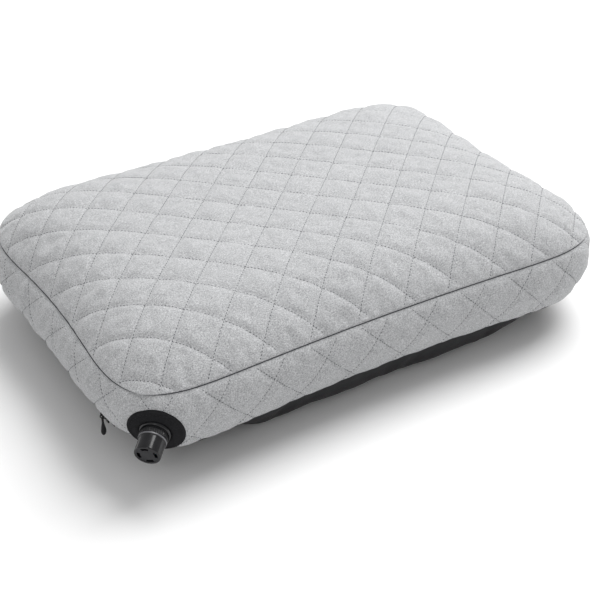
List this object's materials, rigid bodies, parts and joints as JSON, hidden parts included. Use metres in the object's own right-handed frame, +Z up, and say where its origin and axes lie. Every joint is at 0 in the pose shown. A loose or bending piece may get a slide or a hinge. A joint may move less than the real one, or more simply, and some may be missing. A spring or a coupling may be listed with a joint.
{
  "type": "camp pillow",
  "caption": "Inflatable camp pillow: boxed quilted cover with a black underside, an air bladder, a twist valve in one corner and a side zipper.",
  "frame": {"origin": "on the floor under the middle of the pillow's underside", "axes": "+X along the long side, +Y along the short side, away from the valve's long side, +Z up"},
  "size_m": [0.3996, 0.291, 0.0985],
  "materials": {
    "brushed_cloth": "brushed light grey microfibre",
    "batting": "loose white fibre",
    "lining": "plain grey",
    "black_cloth": "smooth black nylon",
    "bladder_cloth": "coated, satin",
    "patch_cloth": "dense black webbing",
    "gloss_plastic": "polished black",
    "matte_plastic": "matte black",
    "silicone": "soft translucent grey",
    "black_rubber": "matte",
    "black_metal": "black enamel"
  },
  "bodies": {
    "pillow": {"cover_top_panel": "brushed_cloth", "cover_top_batting": "batting", "cover_top_lining": "lining", "cover_side_band": "brushed_cloth", "cover_side_batting": "batting", "cover_side_lining": "lining", "cover_bottom_panel": "black_cloth", "bladder_top_sheet": "bladder_cloth", "bladder_side_strip": "bladder_cloth", "bladder_bottom_sheet": "bladder_cloth", "valve_patch": "patch_cloth", "valve_weld_flange": "matte_plastic", "valve_stem": "matte_plastic", "valve_collar": "gloss_plastic", "valve_o_ring": "black_rubber", "zipper_tape_upper": "patch_cloth", "zipper_tape_lower": "patch_cloth", "zipper_coil_upper": "matte_plastic", "zipper_coil_lower": "matte_plastic", "zipper_stop_front": "black_metal", "zipper_stop_back": "black_metal"},
    "valve_washer": {"valve_sealing_washer": "silicone"},
    "valve_cap": {"valve_cap": "gloss_plastic"},
    "zipper_slider": {"zipper_slider": "black_metal", "zipper_bridge": "black_metal"},
    "zipper_pull": {"zipper_pull": "matte_plastic"}
  },
  "joints": [
    {"name": "valve_lift", "type": "slide", "parent": "pillow", "child": "valve_washer", "axis": [-0.6743, -0.6964, -0.2458], "range_m": [0, 0.0027]},
    {"name": "valve_turn", "type": "hinge", "parent": "valve_washer", "child": "valve_cap", "pos_m": [-0.18017, -0.13037, 0.04156], "axis": [-0.6743, -0.6964, -0.2458], "range_deg": [0, 270]},
    {"name": "zipper_travel", "type": "slide", "parent": "pillow", "child": "zipper_slider", "axis": [0, 1, 0], "range_m": [0, 0.172]},
    {"name": "pull_swing", "type": "hinge", "parent": "zipper_slider", "child": "zipper_pull", "pos_m": [-0.197, -0.086, 0.031], "axis": [0, 1, 0], "range_deg": [0, 100]}
  ],
  "couplings": [
    {"joint": "valve_lift", "follows": "valve_turn", "m_per_rad": 0.00047746}
  ]
}
